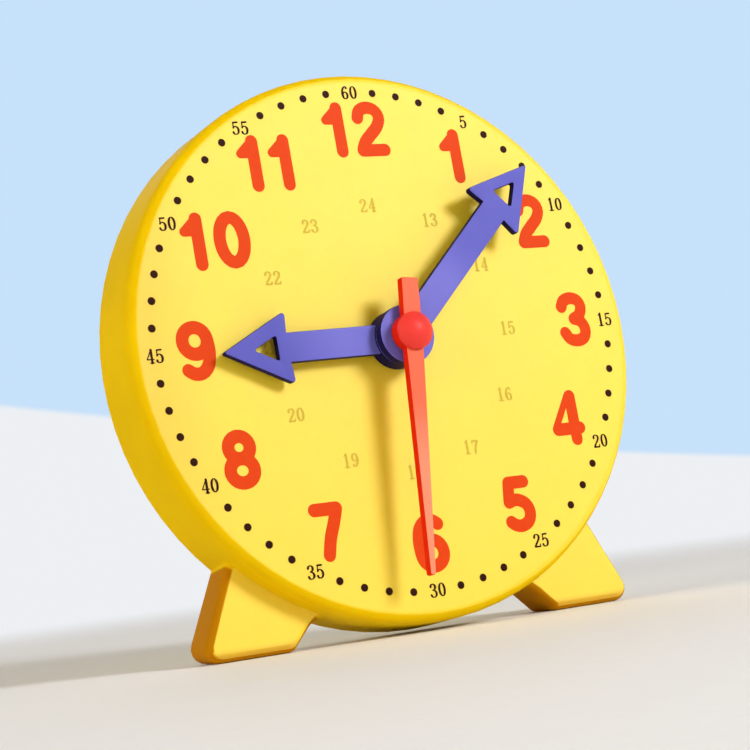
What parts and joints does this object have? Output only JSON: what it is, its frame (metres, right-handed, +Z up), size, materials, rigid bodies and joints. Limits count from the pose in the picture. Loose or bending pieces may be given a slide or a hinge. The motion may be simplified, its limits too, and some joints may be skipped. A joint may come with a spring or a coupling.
{
  "type": "geared teaching clock",
  "caption": "Round toy teaching clock on two feet whose second, minute and hour hands are linked by a wheel train and set from a knob at the back.",
  "frame": {"origin": "middle of the bounding box on the floor, under the clock", "axes": "+X to the viewer's right, +Y towards the back, +Z up; the dial looks towards -Y and leans back 5 degrees"},
  "size_m": [0.1016, 0.0314, 0.1024],
  "materials": {
    "case_plastic": "glossy yellow moulded plastic",
    "hand_plastic": "satin violet moulded plastic",
    "second_plastic": "satin red moulded plastic",
    "gear_plastic": "plain cream plastic",
    "steel_pins": "plain steel",
    "brass_pipe": "plain brass tube"
  },
  "bodies": {
    "case": {"case_shell": "case_plastic", "back_cover": "case_plastic", "gear_plate": "gear_plastic", "motion_post": "steel_pins", "plate_screw_1": "steel_pins", "plate_screw_2": "steel_pins", "plate_screw_3": "steel_pins", "plate_screw_4": "steel_pins", "cover_screw_1": "steel_pins", "cover_screw_2": "steel_pins", "cover_screw_3": "steel_pins", "cover_screw_4": "steel_pins"},
    "knob_train": {"knob": "hand_plastic", "third_arbor": "steel_pins", "third_pinion": "gear_plastic", "third_wheel": "gear_plastic"},
    "seconds": {"second_arbor": "steel_pins", "second_pinion": "gear_plastic", "second_hand": "second_plastic", "centre_cap": "second_plastic"},
    "minutes": {"minute_pipe": "brass_pipe", "cannon_pinion": "gear_plastic", "centre_wheel": "gear_plastic", "minute_hand": "hand_plastic"},
    "motion_work": {"motion_wheel": "gear_plastic", "motion_pinion": "gear_plastic"},
    "hours": {"hour_wheel": "gear_plastic", "hour_hand": "hand_plastic"}
  },
  "joints": [
    {"name": "knob_turn", "type": "hinge", "parent": "case", "child": "knob_train", "pos_m": [0, 0.00636, 0.03316], "axis": [0, 0.9962, -0.0872], "continuous": true},
    {"name": "second_turn", "type": "hinge", "parent": "case", "child": "seconds", "pos_m": [0, -0.00203, 0.05196], "axis": [0, 0.9962, -0.0872], "continuous": true},
    {"name": "minute_turn", "type": "hinge", "parent": "case", "child": "minutes", "pos_m": [0, -0.00203, 0.05196], "axis": [0, 0.9962, -0.0872], "continuous": true},
    {"name": "motion_turn", "type": "hinge", "parent": "case", "child": "motion_work", "pos_m": [0, 0.00082, 0.06617], "axis": [0, 0.9962, -0.0872], "continuous": true},
    {"name": "hour_turn", "type": "hinge", "parent": "case", "child": "hours", "pos_m": [0, -0.00303, 0.05205], "axis": [0, 0.9962, -0.0872], "continuous": true}
  ],
  "couplings": [
    {"joint": "second_turn", "follows": "knob_turn", "ratio": -7.5},
    {"joint": "minute_turn", "follows": "knob_turn", "ratio": -0.125},
    {"joint": "motion_turn", "follows": "knob_turn", "ratio": 0.041667},
    {"joint": "hour_turn", "follows": "knob_turn", "ratio": -0.010417}
  ]
}
